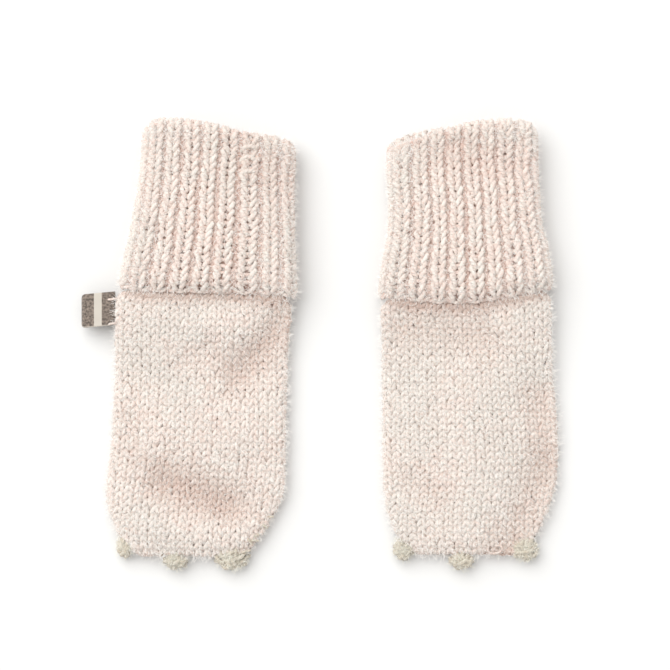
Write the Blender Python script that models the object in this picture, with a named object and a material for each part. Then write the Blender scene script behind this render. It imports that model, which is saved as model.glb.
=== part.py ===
"""Pair of baby mittens, knitted in thick soft yarn and laid flat side by side, fingertips down.

Each mitten is a tube of plain knitting that lies as two panels, a back and a palm, closed at
the tip, with a 1x1 rib cuff turned back over its wrist end.  Three small crocheted knots sit
on each tip edge, and a folded tape label is sewn into the left mitten's side.
Tables are in millimetres, measured from a mitten's centre line (x) and from the height of its
cuff hem (y, up towards the cuff's fold); the objects are in metres.  The pair stands on z = 0,
with its origin under the middle of its box.
"""
import math
from collections import namedtuple

import bmesh
import bpy
from mathutils import Vector
from mathutils.bvhtree import BVHTree

MM = 0.001

# Clearance between neighbouring pieces, and the wall's thickness at the very edge of a panel.
GAP = 0.3
EDGE = 0.8

# The knitted walls: one layer of the hand, and one layer of the cuff's thicker rib.
HAND_WALL = 2.75
RIB_WALL = 3.05

# How far in from its side a panel takes to round up to its full height.
HAND_ROLL = 3.4
CUFF_ROLL = 5.0

# The fold at the top of the cuff, the part of the hand hidden under the hem with the room
# left past its end, and the inside of the hem, as a share of the cuff's half width.
FOLD_ROLL = 3.2
TUCK = 3.0
TUCK_ROOM = 1.0
CHANNEL = 0.895
STEP = 0.25

# Length of the cuff from hem to fold along the middle, and how much it swells there.
CUFF_LENGTH = 58.0
CUFF_CROWN = 0.6

# The hand climbs from the floor to the cuff over this length below the hem, and its
# middle swells up over the shorter length.
LIFT_LENGTH = 30.0
SWELL_LENGTH = 10.0

# The valley between two ribs.
VALLEY_DEPTH = 1.15
VALLEY_HALF = 1.6

# Height of the seam between the back and the palm at the cuff.
CUFF_SEAM = RIB_WALL + GAP + HAND_WALL + GAP / 2

HandRow = namedtuple("HandRow", "y left right crown")
CuffRow = namedtuple("CuffRow", "along left right")
RimRow = namedtuple("RimRow", "across hem fold fold_under")
Fold = namedtuple("Fold", "x0 y0 x1 y1 width depth")
Claw = namedtuple("Claw", "x y width length height turn")
Mitten = namedtuple("Mitten", "name centre hand cuff rim valleys folds claws")

LEFT = Mitten(
    name="left",
    centre=-43.2,
    hand=[
        HandRow(y=-87.2, left=16.0, right=8.5, crown=0.0),
        HandRow(y=-85.8, left=22.1, right=12.9, crown=0.2),
        HandRow(y=-83.2, left=26.2, right=16.6, crown=0.6),
        HandRow(y=-78.9, left=29.2, right=19.8, crown=1.0),
        HandRow(y=-73.9, left=31.4, right=23.0, crown=1.3),
        HandRow(y=-69.0, left=32.9, right=25.6, crown=1.5),
        HandRow(y=-64.0, left=33.2, right=27.0, crown=1.7),
        HandRow(y=-56.8, left=32.4, right=27.4, crown=1.9),
        HandRow(y=-40.9, left=31.1, right=27.6, crown=2.0),
        HandRow(y=-25.1, left=30.3, right=28.2, crown=1.8),
        HandRow(y=-9.2, left=30.2, right=29.3, crown=1.0),
        HandRow(y=-3.0, left=30.0, right=29.8, crown=0.4),
    ],
    cuff=[
        CuffRow(along=0.00, left=29.0, right=31.4),
        CuffRow(along=0.05, left=28.7, right=31.4),
        CuffRow(along=0.16, left=27.4, right=31.2),
        CuffRow(along=0.30, left=25.5, right=30.8),
        CuffRow(along=0.47, left=23.8, right=30.6),
        CuffRow(along=0.64, left=22.2, right=30.7),
        CuffRow(along=0.82, left=21.2, right=30.8),
        CuffRow(along=1.00, left=20.8, right=30.6),
    ],
    rim=[
        RimRow(across=0.00, hem=2.2, fold=48.5, fold_under=47.8),
        RimRow(across=0.04, hem=1.9, fold=56.0, fold_under=55.0),
        RimRow(across=0.10, hem=1.3, fold=59.0, fold_under=57.8),
        RimRow(across=0.20, hem=0.8, fold=59.4, fold_under=58.2),
        RimRow(across=0.37, hem=0.4, fold=58.4, fold_under=57.5),
        RimRow(across=0.55, hem=0.3, fold=56.4, fold_under=55.8),
        RimRow(across=0.68, hem=0.0, fold=54.8, fold_under=54.4),
        RimRow(across=0.84, hem=-0.3, fold=53.4, fold_under=52.8),
        RimRow(across=0.94, hem=-0.8, fold=51.8, fold_under=51.0),
        RimRow(across=0.98, hem=-1.0, fold=50.0, fold_under=49.2),
        RimRow(across=1.00, hem=-1.1, fold=46.0, fold_under=45.2),
    ],
    valleys=(0.080, 0.180, 0.288, 0.404, 0.514, 0.636, 0.777, 0.891),
    folds=[
        Fold(x0=23.0, y0=-9.0, x1=9.0, y1=-25.0, width=5.0, depth=1.3),
        Fold(x0=-8.0, y0=-17.0, x1=-2.0, y1=-19.0, width=6.0, depth=0.6),
        Fold(x0=-14.0, y0=-63.0, x1=4.0, y1=-68.5, width=6.5, depth=0.8),
        Fold(x0=-24.0, y0=-42.0, x1=-22.0, y1=-50.0, width=4.0, depth=0.4),
    ],
    claws=[
        Claw(x=-26.6, y=-83.6, width=5.2, length=7.6, height=5.6, turn=0.25),
        Claw(x=-9.6, y=-88.2, width=7.6, length=6.4, height=6.0, turn=0.0),
        Claw(x=9.2, y=-87.4, width=10.6, length=8.6, height=6.0, turn=-0.3),
    ],
)

RIGHT = Mitten(
    name="right",
    centre=43.3,
    hand=[
        HandRow(y=-86.6, left=12.5, right=14.0, crown=0.0),
        HandRow(y=-85.2, left=17.5, right=18.8, crown=0.2),
        HandRow(y=-82.4, left=21.0, right=22.4, crown=0.6),
        HandRow(y=-77.6, left=24.4, right=25.2, crown=1.0),
        HandRow(y=-73.0, left=26.1, right=27.2, crown=1.3),
        HandRow(y=-67.0, left=27.4, right=29.6, crown=1.5),
        HandRow(y=-60.0, left=27.9, right=31.2, crown=1.7),
        HandRow(y=-50.0, left=28.1, right=31.5, crown=1.9),
        HandRow(y=-38.0, left=28.1, right=30.9, crown=2.0),
        HandRow(y=-25.0, left=28.3, right=29.5, crown=1.8),
        HandRow(y=-12.0, left=28.6, right=28.9, crown=1.0),
        HandRow(y=-5.0, left=29.0, right=28.8, crown=0.5),
    ],
    cuff=[
        CuffRow(along=0.00, left=29.6, right=29.2),
        CuffRow(along=0.06, left=29.4, right=29.1),
        CuffRow(along=0.14, left=28.9, right=28.6),
        CuffRow(along=0.27, left=27.7, right=27.3),
        CuffRow(along=0.41, left=26.3, right=25.4),
        CuffRow(along=0.60, left=26.0, right=24.8),
        CuffRow(along=0.80, left=26.7, right=24.3),
        CuffRow(along=1.00, left=26.6, right=24.1),
    ],
    rim=[
        RimRow(across=0.00, hem=-1.3, fold=45.6, fold_under=48.0),
        RimRow(across=0.05, hem=-1.3, fold=49.4, fold_under=51.8),
        RimRow(across=0.12, hem=-1.6, fold=51.0, fold_under=53.5),
        RimRow(across=0.23, hem=-2.4, fold=53.2, fold_under=55.4),
        RimRow(across=0.38, hem=-3.1, fold=55.8, fold_under=57.0),
        RimRow(across=0.52, hem=-3.1, fold=57.8, fold_under=57.8),
        RimRow(across=0.65, hem=-2.0, fold=58.8, fold_under=58.2),
        RimRow(across=0.77, hem=-0.8, fold=59.3, fold_under=58.4),
        RimRow(across=0.90, hem=0.8, fold=58.6, fold_under=57.6),
        RimRow(across=0.97, hem=1.8, fold=55.3, fold_under=54.4),
        RimRow(across=1.00, hem=2.2, fold=48.8, fold_under=48.0),
    ],
    valleys=(0.052, 0.172, 0.292, 0.391, 0.502, 0.611, 0.708, 0.827, 0.936),
    folds=[
        Fold(x0=-19.0, y0=-9.0, x1=1.0, y1=-11.5, width=4.5, depth=0.9),
        Fold(x0=21.5, y0=-37.0, x1=25.5, y1=-58.0, width=4.5, depth=1.0),
        Fold(x0=25.5, y0=-58.0, x1=13.0, y1=-79.0, width=4.5, depth=0.8),
        Fold(x0=-14.0, y0=-60.0, x1=-13.0, y1=-66.0, width=5.0, depth=0.5),
    ],
    claws=[
        Claw(x=-20.6, y=-84.2, width=6.4, length=7.6, height=5.6, turn=0.35),
        Claw(x=-1.4, y=-88.0, width=8.0, length=6.4, height=6.0, turn=0.0),
        Claw(x=20.6, y=-85.4, width=7.6, length=8.4, height=6.0, turn=-0.5),
    ],
)

# Spacing of the hand's sections below the hem, between hem and tip, and up from the tip.
HEM_STATIONS = (TUCK, 0.2, -GAP, -0.9, -1.9, -3.6, -6.5, -10.5)
TIP_STATIONS = (22.0, 17.0, 12.5, 9.0, 6.3, 4.2, 2.6, 1.3, 0.4, 0.0)
HAND_STEP = 7.0
HAND_POINTS = 23
PALM_POINTS = 15
OUTLINE_STEPS = 60

# Sections of the cuff: distances up from the hem, and down from the fold.
HEM_SECTIONS = (0.0, 0.5, TUCK + TUCK_ROOM, TUCK + TUCK_ROOM + STEP, 9.0)
FOLD_SECTIONS = (5.0, 2.6, 1.3, 0.45, 0.0)
CUFF_STEP = 9.0

# Points at each side of the cuff, as shares of its width, where it rounds over.
SIDE_SHARES = (0.0, 0.012, 0.035)

# Points across the inner side of each panel, as shares of its half width.
INNER = (-1.0, -CHANNEL - 0.01, -CHANNEL, -0.55, 0.0, 0.55, CHANNEL, CHANNEL + 0.01, 1.0)

# The claws' meshes, and the room that is kept round the mitten's edge for their flat facets.
CLAW_SEGMENTS = 14
CLAW_RINGS = 9
CLAW_LUMP = 0.12
LUMPS_ACROSS = 4
LUMPS_ALONG = 5
CLAW_ROOM = 0.42

# The folded label: its tape width, how far it stands out, the ply, and the gap between plies.
LABEL_TOP = 1.4
LABEL_WIDTH = 11.1
LABEL_REACH = 10.2
LABEL_PLY = 1.0
LABEL_GAP = 0.7
LABEL_SLOPE = 0.09
LABEL_DROOP = 1.2
LABEL_SEAM = 5.6
LABEL_SECTIONS = 7
LABEL_BEND_POINTS = 8

SHARP_ANGLE = 50.0

PINK_YARN = (0.78, 0.62, 0.54)
CREAM_YARN = (0.74, 0.70, 0.58)
BROWN_TAPE = (0.30, 0.23, 0.18)


def read(rows, column, at):
    """One column of a table at a place between its rows, on a smooth curve without overshoot."""
    places = [row[0] for row in rows]
    values = [getattr(row, column) for row in rows]
    if at <= places[0]:
        return values[0]
    if at >= places[-1]:
        return values[-1]
    secants = [
        (values[i + 1] - values[i]) / (places[i + 1] - places[i]) for i in range(len(rows) - 1)
    ]
    slopes = [secants[0]]
    for before, after in zip(secants, secants[1:]):
        slopes.append(2 * before * after / (before + after) if before * after > 0 else 0.0)
    slopes.append(secants[-1])
    i = max(k for k in range(len(rows) - 1) if places[k] <= at)
    span = places[i + 1] - places[i]
    t = (at - places[i]) / span
    return (
        values[i] * (1 + 2 * t) * (1 - t) ** 2
        + slopes[i] * span * t * (1 - t) ** 2
        + values[i + 1] * t * t * (3 - 2 * t)
        - slopes[i + 1] * span * t * t * (1 - t)
    )


def smooth_step(t):
    t = min(max(t, 0.0), 1.0)
    return t * t * (3 - 2 * t)


def rolled(distance, roll):
    """Quarter-round rise from 0 at an edge to 1 at a roll's width inside it."""
    share = min(max(distance / roll, 0.0), 1.0)
    return math.sqrt(1 - (1 - share) ** 2)


def segment_distance(x, y, x0, y0, x1, y1):
    length = (x1 - x0) ** 2 + (y1 - y0) ** 2
    t = ((x - x0) * (x1 - x0) + (y - y0) * (y1 - y0)) / length
    t = min(max(t, 0.0), 1.0)
    return math.hypot(x - x0 - t * (x1 - x0), y - y0 - t * (y1 - y0))


def fold_depth(mitten, x, y):
    """How deep the soft troughs lie at a point of the hand's upper side."""
    depth = 0.0
    for fold in mitten.folds:
        away = segment_distance(x, y, fold.x0, fold.y0, fold.x1, fold.y1)
        depth += fold.depth * math.exp(-((away / fold.width) ** 2))
    return depth


def tucked_side(mitten, side):
    """Half width of the hand where it is hidden inside the cuff's hem."""
    left = mitten.cuff[0].left
    right = mitten.cuff[0].right
    middle = (right - left) / 2
    reach = CHANNEL * (left + right) / 2 - 2 * GAP
    return reach - middle if side == "left" else reach + middle


def hand_side(mitten, side, y):
    """Half width of the hand at a distance y from the hem: it swells out just below the hem."""
    free = read(mitten.hand, side, y)
    swell = rolled(-GAP - y, HAND_ROLL)
    return tucked_side(mitten, side) * (1 - swell) + free * swell


def hand_y(mitten, y, x):
    """Near the hem the sections run along the hem's own line, and lower down straight across."""
    follow = smooth_step(1 + y / LIFT_LENGTH)
    hem = mitten.cuff[0]
    return y + follow * read(mitten.rim, "hem", (x + hem.left) / (hem.left + hem.right))


def hand_outline(mitten):
    """The hand's edge in plan, from the left side at the hem round the tip to the right side."""
    tip = mitten.hand[0].y
    levels = [tip * k / OUTLINE_STEPS for k in range(OUTLINE_STEPS + 1)]
    left_side = [(y, -hand_side(mitten, "left", y)) for y in levels]
    right_side = [(y, hand_side(mitten, "right", y)) for y in levels]
    return [(x, hand_y(mitten, y, x)) for y, x in left_side + right_side[::-1]]


def outline_distance(outline, x, y):
    return min(segment_distance(x, y, *start, *end) for start, end in zip(outline, outline[1:]))


def hand_stations(mitten):
    """Distances from the hem at which the hand's sections lie."""
    tip = mitten.hand[0].y
    first = HEM_STATIONS[-1]
    last = tip + TIP_STATIONS[0]
    count = round((first - last) / HAND_STEP)
    between = [first + (last - first) * k / count for k in range(1, count)]
    return list(HEM_STATIONS) + between + [tip + up for up in TIP_STATIONS]


def edge_crowded(count):
    """Shares across a panel from -1 to 1, closer together towards its rounded sides."""
    return [math.sin(math.pi / 2 * (2 * k / (count - 1) - 1)) for k in range(count)]


def progress(line):
    """How far along a line each of its points lies, from 0 to 1."""
    lengths = [0.0]
    for before, after in zip(line, line[1:]):
        lengths.append(lengths[-1] + (after.co - before.co).length)
    return [length / lengths[-1] for length in lengths]


def close_end(solid, outer, inner):
    """Close a section with a strip of faces between its outer and its inner side."""
    outer_at, inner_at = progress(outer), progress(inner)
    i = j = 0
    while i + 1 < len(outer) or j + 1 < len(inner):
        inner_done = j + 1 == len(inner)
        if inner_done or (i + 1 < len(outer) and outer_at[i + 1] <= inner_at[j + 1]):
            solid.faces.new((outer[i], outer[i + 1], inner[j]))
            i += 1
        else:
            solid.faces.new((outer[i], inner[j + 1], inner[j]))
            j += 1


def loft(name, sections, material):
    """Closed solid through sections, each an outer and an inner line from left to right."""
    mesh = bpy.data.meshes.new(name)
    solid = bmesh.new()
    rows = []
    for outer, inner in sections:
        rows.append([
            [solid.verts.new(Vector(point) * MM) for point in line] for line in (outer, inner)
        ])
    for (outer, inner), (next_outer, next_inner) in zip(rows, rows[1:]):
        ring, next_ring = outer + inner[::-1], next_outer + next_inner[::-1]
        for k in range(len(ring)):
            after = (k + 1) % len(ring)
            solid.faces.new((ring[k], ring[after], next_ring[after], next_ring[k]))
    close_end(solid, *rows[0])
    close_end(solid, *rows[-1])
    bmesh.ops.triangulate(solid, faces=solid.faces[:], quad_method="SHORT_EDGE")
    bmesh.ops.recalc_face_normals(solid, faces=solid.faces[:])
    solid.to_mesh(mesh)
    solid.free()
    return add_object(name, mesh, material)


def add_object(name, mesh, material):
    mesh.materials.append(material)
    mesh.shade_smooth()
    mesh.set_sharp_from_angle(angle=math.radians(SHARP_ANGLE))
    piece = bpy.data.objects.new(name, mesh)
    bpy.data.collections["baby_mittens"].objects.link(piece)
    return piece


def fabric(name, colour, roughness):
    material = bpy.data.materials.new(name)
    material.use_nodes = True
    shader = material.node_tree.nodes["Principled BSDF"]
    shader.inputs["Base Color"].default_value = (*colour, 1.0)
    shader.inputs["Roughness"].default_value = roughness
    shader.inputs["Metallic"].default_value = 0.0
    return material


def hand_section(mitten, outline, y, upper):
    """One section of the hand's back or palm: its outer side, then its inner side."""
    left = hand_side(mitten, "left", y)
    right = hand_side(mitten, "right", y)
    climb = smooth_step(1 + y / LIFT_LENGTH)
    floor = (RIB_WALL + GAP) * climb
    seam = floor + HAND_WALL + GAP / 2
    crown = read(mitten.hand, "crown", y) * smooth_step(-y / SWELL_LENGTH)
    facing = 1 if upper else -1
    rim = seam + facing * GAP / 2

    def place(share):
        x = -left + (left + right) * (share + 1) / 2
        return x, hand_y(mitten, y, x)

    outer = []
    for share in edge_crowded(HAND_POINTS if upper else PALM_POINTS):
        x, real_y = place(share)
        rise = rolled(outline_distance(outline, x, real_y), HAND_ROLL)
        if upper:
            troughs = fold_depth(mitten, x, real_y) * rise
            troughs *= smooth_step(-y / HAND_ROLL)
            height = rim + EDGE + (HAND_WALL - EDGE) * rise + crown * (1 - share ** 2) - troughs
        else:
            height = rim - EDGE - (rim - EDGE - floor) * rise
        outer.append((mitten.centre + x, real_y, height))
    inner = []
    for share in INNER:
        x, real_y = place(share)
        hollow = crown * (1 - share ** 2) if upper else 0.0
        inner.append((mitten.centre + x, real_y, rim + hollow))
    return outer, inner


def make_hand(mitten, yarn):
    outline = hand_outline(mitten)
    for part, upper in (("back", True), ("palm", False)):
        sections = [hand_section(mitten, outline, y, upper) for y in hand_stations(mitten)]
        loft(f"{mitten.name}_hand_{part}", sections, yarn)


def cuff_sections():
    """Distances from the hem at which the cuff's sections lie, up to the fold."""
    first = HEM_SECTIONS[-1]
    last = CUFF_LENGTH - FOLD_SECTIONS[0]
    count = round((last - first) / CUFF_STEP)
    between = [first + (last - first) * k / count for k in range(1, count)]
    return list(HEM_SECTIONS) + between + [CUFF_LENGTH - down for down in FOLD_SECTIONS]


def cuff_shares(mitten, half_width):
    """Shares across the cuff from -1 to 1: each valley, its two sides, the crests, the edges."""
    slope = VALLEY_HALF / (2 * half_width)
    places = set(SIDE_SHARES).union(1 - share for share in SIDE_SHARES)
    crests = [(a + b) / 2 for a, b in zip(mitten.valleys, mitten.valleys[1:])]
    for valley in mitten.valleys:
        places.update((valley - slope, valley, valley + slope))
    return [2 * place - 1 for place in sorted(places.union(crests))]


def rib_depth(mitten, across, width):
    """Depth below the ribs' crests: narrow purl valleys between round knit columns."""
    depth = 0.0
    for valley in mitten.valleys:
        away = abs(across - valley) * width
        depth += VALLEY_DEPTH * max(0.0, 1 - away / VALLEY_HALF)
    return depth


def cuff_section(mitten, shares, up, upper):
    """One section of the cuff's double wall: its outer side, then its inner side."""
    along = up / CUFF_LENGTH
    left = read(mitten.cuff, "left", along)
    right = read(mitten.cuff, "right", along)
    width = left + right
    facing = 1 if upper else -1
    rim = CUFF_SEAM + facing * GAP / 2
    full = CUFF_SEAM - GAP / 2
    nose = rolled(CUFF_LENGTH - up, FOLD_ROLL)
    under_hem = up <= TUCK + TUCK_ROOM
    fold_column = "fold" if upper else "fold_under"

    def place(share):
        across = (share + 1) / 2
        hem = read(mitten.rim, "hem", across)
        length = read(mitten.rim, fold_column, across) - hem
        y = hem + CUFF_LENGTH * along + (length - CUFF_LENGTH) * along ** 2
        return mitten.centre - left + width * across, y

    def outer_height(share):
        across = (share + 1) / 2
        edge = min(across, 1 - across) * width
        ribs = rib_depth(mitten, across, width) * rolled(edge, HAND_ROLL)
        rise = EDGE + (full - EDGE) * rolled(edge, CUFF_ROLL)
        if upper:
            return rise + CUFF_CROWN * (1 - share ** 2) - ribs
        near_fold = smooth_step(1 - (CUFF_LENGTH - up) / FOLD_ROLL)
        return rise - ribs * near_fold

    def inner_height(share):
        if under_hem:
            return HAND_WALL + GAP if abs(share) <= CHANNEL else 0.0
        return CUFF_CROWN * (1 - share ** 2) if upper else 0.0

    def line(places, side):
        points = []
        for share in places:
            x, y = place(share)
            high, low = outer_height(share), inner_height(share)
            middle, half = (high + low) / 2, (high - low) / 2
            half = EDGE / 2 + (half - EDGE / 2) * nose
            points.append((x, y, rim + facing * (middle + side * half)))
        return points

    return line(shares, 1), line(INNER, -1)


def make_cuff(mitten, yarn):
    half_width = (mitten.cuff[0].left + mitten.cuff[0].right) / 2
    shares = cuff_shares(mitten, half_width)
    for part, upper in (("back", True), ("palm", False)):
        sections = [cuff_section(mitten, shares, up, upper) for up in cuff_sections()]
        loft(f"{mitten.name}_cuff_{part}", sections, yarn)


def room_round(pieces):
    """The hand's panels grown by the claws' clearance, for rays to stop at."""
    corners, faces = [], []
    for piece in pieces:
        start = len(corners)
        for vertex in piece.data.vertices:
            corners.append(vertex.co + vertex.normal * CLAW_ROOM * MM)
        for face in piece.data.polygons:
            faces.append([start + index for index in face.vertices])
    return BVHTree.FromPolygons(corners, faces)


def make_claws(mitten, yarn):
    """Lumpy crocheted knots that hug the tip's rounded edge."""
    hand = [bpy.data.objects[f"{mitten.name}_hand_{part}"] for part in ("back", "palm")]
    room = room_round(hand)
    for number, claw in enumerate(mitten.claws, start=1):
        shape = bmesh.new()
        bmesh.ops.create_uvsphere(
            shape, u_segments=CLAW_SEGMENTS, v_segments=CLAW_RINGS, radius=1.0
        )
        centre = Vector((mitten.centre + claw.x, claw.y, claw.height / 2 + GAP)) * MM
        for vertex in shape.verts:
            across, along, up = vertex.co
            wave = math.sin(LUMPS_ACROSS * across + number) * math.cos(LUMPS_ALONG * (along + up))
            size = Vector((claw.width * across, claw.length * along, claw.height * up)) / 2
            turned = Vector((
                size.x * math.cos(claw.turn) - size.y * math.sin(claw.turn),
                size.x * math.sin(claw.turn) + size.y * math.cos(claw.turn),
                size.z,
            ))
            reach = turned.length * (1 + CLAW_LUMP * wave) * MM
            way = turned.normalized()
            hit = room.ray_cast(centre, way, reach)[3]
            vertex.co = centre + way * (reach if hit is None else hit)
            vertex.co.z = max(vertex.co.z, GAP * MM)
        bmesh.ops.triangulate(shape, faces=shape.faces[:])
        bmesh.ops.recalc_face_normals(shape, faces=shape.faces[:])
        name = f"{mitten.name}_claw_{number}"
        mesh = bpy.data.meshes.new(name)
        shape.to_mesh(mesh)
        shape.free()
        add_object(name, mesh, yarn)


def make_label(mitten, tape):
    """A short tape folded in two and caught in the side seam just below the hem."""
    bend = LABEL_GAP / 2
    seam_x = mitten.centre - max(row.left for row in mitten.hand if row.y > -LABEL_WIDTH) - GAP

    def side(radius):
        """One side of the folded tape: in at the seam above, round the bend, back below."""
        points = [(0.0, radius)]
        for k in range(LABEL_BEND_POINTS + 1):
            angle = math.pi / 2 - math.pi * k / LABEL_BEND_POINTS
            away = LABEL_REACH - bend - LABEL_PLY + radius * math.cos(angle)
            points.append((away, radius * math.sin(angle)))
        points.append((0.0, -radius))
        return points

    def placed(y, line):
        return [
            (
                seam_x - away,
                y - LABEL_SLOPE * away,
                LABEL_SEAM + height - LABEL_DROOP * (away / LABEL_REACH) ** 2,
            )
            for away, height in line
        ]

    sections = []
    for k in range(LABEL_SECTIONS):
        y = LABEL_TOP - LABEL_WIDTH * k / (LABEL_SECTIONS - 1)
        sections.append((placed(y, side(bend + LABEL_PLY)), placed(y, side(bend))))
    loft(f"{mitten.name}_label", sections, tape)


def stand_on_origin(pieces):
    """Move the pair so that the middle of its box's bottom is the origin."""
    corners = [vertex.co for piece in pieces for vertex in piece.data.vertices]
    low = [min(corner[axis] for corner in corners) for axis in range(3)]
    high = [max(corner[axis] for corner in corners) for axis in range(3)]
    centre = Vector(((low[0] + high[0]) / 2, (low[1] + high[1]) / 2, low[2]))
    for piece in pieces:
        piece.location = -centre


for leftover in list(bpy.data.objects):
    bpy.data.objects.remove(leftover, do_unlink=True)
pair = bpy.data.collections.new("baby_mittens")
bpy.context.scene.collection.children.link(pair)

pink = fabric("pink_yarn", PINK_YARN, 0.95)
cream = fabric("cream_yarn", CREAM_YARN, 0.95)
brown = fabric("brown_tape", BROWN_TAPE, 0.8)

for one in (LEFT, RIGHT):
    make_hand(one, pink)
    make_cuff(one, pink)
    make_claws(one, cream)
make_label(LEFT, brown)
stand_on_origin(list(pair.objects))
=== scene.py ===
import math
from collections import namedtuple
from functools import partial

import bpy
import numpy as np
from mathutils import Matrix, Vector


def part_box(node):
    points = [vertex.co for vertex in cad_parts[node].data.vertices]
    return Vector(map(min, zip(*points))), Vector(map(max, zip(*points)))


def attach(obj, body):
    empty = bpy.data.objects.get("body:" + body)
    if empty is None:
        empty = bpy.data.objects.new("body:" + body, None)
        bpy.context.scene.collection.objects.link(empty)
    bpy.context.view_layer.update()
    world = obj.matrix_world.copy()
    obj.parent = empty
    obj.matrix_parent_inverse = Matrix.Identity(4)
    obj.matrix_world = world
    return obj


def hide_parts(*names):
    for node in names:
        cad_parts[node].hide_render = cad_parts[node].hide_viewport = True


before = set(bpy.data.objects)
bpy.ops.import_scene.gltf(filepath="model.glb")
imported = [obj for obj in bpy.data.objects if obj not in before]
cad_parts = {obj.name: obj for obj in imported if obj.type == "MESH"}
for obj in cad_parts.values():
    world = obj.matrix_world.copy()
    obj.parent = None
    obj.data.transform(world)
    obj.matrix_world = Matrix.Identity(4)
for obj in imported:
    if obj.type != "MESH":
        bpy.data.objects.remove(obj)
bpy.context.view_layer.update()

# The hands' cloth.  Each hand is one tube of plain knitting, worked from the cuff down to the
# tip and laid flat as a back and a palm.  The yarn lies on a thin inner shell of the same
# wool, painted dark as the shade that shows between the stitches.
MM = 0.001
WALL_GAP = 0.3
HAND_WALL = 2.75
RIB_WALL = 3.05
HAND_ROLL = 3.4
TUCK = 3.0
CHANNEL = 0.895
LIFT_LENGTH = 30.0
SWELL_LENGTH = 10.0
OUTLINE_ROWS = 61
SPINE_ROWS = 200
FINE_POINTS = 121

HandRow = namedtuple("HandRow", "y left right crown")
Crease = namedtuple("Crease", "x0 y0 x1 y1 steep gentle depth")
CuffRow = namedtuple("CuffRow", "along left right")
RimRow = namedtuple("RimRow", "across hem fold fold_under")
CENTRES = {"left": -43.2, "right": 43.3}


def table(kind, **sides):
    """A table with rows of one kind for each mitten, in the order of that kind's fields."""
    return {side: [kind(*row) for row in rows] for side, rows in sides.items()}


# A hand's row gives the half widths and the crown at y from the hem, and a cuff's row the half
# widths at a share of its length.  A rim's row gives the hem's and the fold's lines across.
HANDS = table(HandRow, left=[
    (-87.2, 16.0, 8.5, 0.0), (-85.8, 22.1, 12.9, 0.2), (-83.2, 26.2, 16.6, 0.6),
    (-78.9, 29.2, 19.8, 1.0), (-73.9, 31.4, 23.0, 1.3), (-69.0, 32.9, 25.6, 1.5),
    (-64.0, 33.2, 27.0, 1.7), (-56.8, 32.4, 27.4, 1.9), (-40.9, 31.1, 27.6, 2.0),
    (-25.1, 30.3, 28.2, 1.8), (-9.2, 30.2, 29.3, 1.0), (-3.0, 30.0, 29.8, 0.4),
], right=[
    (-86.6, 12.5, 14.0, 0.0), (-85.2, 17.5, 18.8, 0.2), (-82.4, 21.0, 22.4, 0.6),
    (-77.6, 24.4, 25.2, 1.0), (-73.0, 26.1, 27.2, 1.3), (-67.0, 27.4, 29.6, 1.5),
    (-60.0, 27.9, 31.2, 1.7), (-50.0, 28.1, 31.5, 1.9), (-38.0, 28.1, 30.9, 2.0),
    (-25.0, 28.3, 29.5, 1.8), (-12.0, 28.6, 28.9, 1.0), (-5.0, 29.0, 28.8, 0.5),
])
CUFFS = table(CuffRow, left=[
    (0.00, 29.0, 31.4), (0.05, 28.7, 31.4), (0.16, 27.4, 31.2), (0.30, 25.5, 30.8),
    (0.47, 23.8, 30.6), (0.64, 22.2, 30.7), (0.82, 21.2, 30.8), (1.00, 20.8, 30.6),
], right=[
    (0.00, 29.6, 29.2), (0.06, 29.4, 29.1), (0.14, 28.9, 28.6), (0.27, 27.7, 27.3),
    (0.41, 26.3, 25.4), (0.60, 26.0, 24.8), (0.80, 26.7, 24.3), (1.00, 26.6, 24.1),
])
RIMS = table(RimRow, left=[
    (0.00, 2.2, 48.5, 47.8), (0.04, 1.9, 56.0, 55.0), (0.10, 1.3, 59.0, 57.8),
    (0.20, 0.8, 59.4, 58.2), (0.37, 0.4, 58.4, 57.5), (0.55, 0.3, 56.4, 55.8),
    (0.68, 0.0, 54.8, 54.4), (0.84, -0.3, 53.4, 52.8), (0.94, -0.8, 51.8, 51.0),
    (0.98, -1.0, 50.0, 49.2), (1.00, -1.1, 46.0, 45.2),
], right=[
    (0.00, -1.3, 45.6, 48.0), (0.05, -1.3, 49.4, 51.8), (0.12, -1.6, 51.0, 53.5),
    (0.23, -2.4, 53.2, 55.4), (0.38, -3.1, 55.8, 57.0), (0.52, -3.1, 57.8, 57.8),
    (0.65, -2.0, 58.8, 58.2), (0.77, -0.8, 59.3, 58.4), (0.90, 0.8, 58.6, 57.6),
    (0.97, 1.8, 55.3, 54.4), (1.00, 2.2, 48.8, 48.0),
])
# The folds of the backs and, below, of the palms.  A fold falls steeply on the left of its line,
# seen from the line's start, and rises gently on the right; a negative depth is a swell.
CREASES = table(Crease, left=[
    (10.5, -25.0, 26.0, -8.0, 5.5, 9.0, 2.5), (-7.0, -21.0, 2.0, -17.0, 4.5, 6.0, 1.0),
    (-14.0, -61.5, 7.0, -70.0, 9.0, 7.0, 3.2), (-24.0, -51.0, -25.0, -41.0, 4.0, 5.0, 1.0),
    (-20.0, -88.5, 10.0, -89.5, 4.6, 4.6, 2.0), (13.0, -87.0, 27.0, -70.0, 3.6, 3.6, 1.3),
    (-8.0, -40.0, 14.0, -46.0, 8.0, 8.0, -0.8), (-20.0, -77.0, 8.0, -80.0, 4.0, 4.0, -0.7),
    (0.0, -9.0, 12.0, -11.0, 4.5, 4.5, -0.8),
], right=[
    (-20.0, -10.0, 5.0, -12.0, 6.0, 9.0, 1.7), (27.0, -52.0, 24.0, -34.0, 7.0, 7.0, 1.8),
    (15.0, -82.0, 25.0, -60.0, 8.0, 9.0, 1.8), (-17.0, -61.0, -7.0, -67.0, 6.0, 7.0, 1.2),
    (-16.0, -88.0, 16.0, -88.5, 4.6, 4.6, 2.0), (1.0, -34.0, 6.0, -66.0, 8.0, 8.0, -0.8),
    (-19.0, -38.0, -17.0, -52.0, 5.0, 5.0, -0.5),
])
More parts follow.
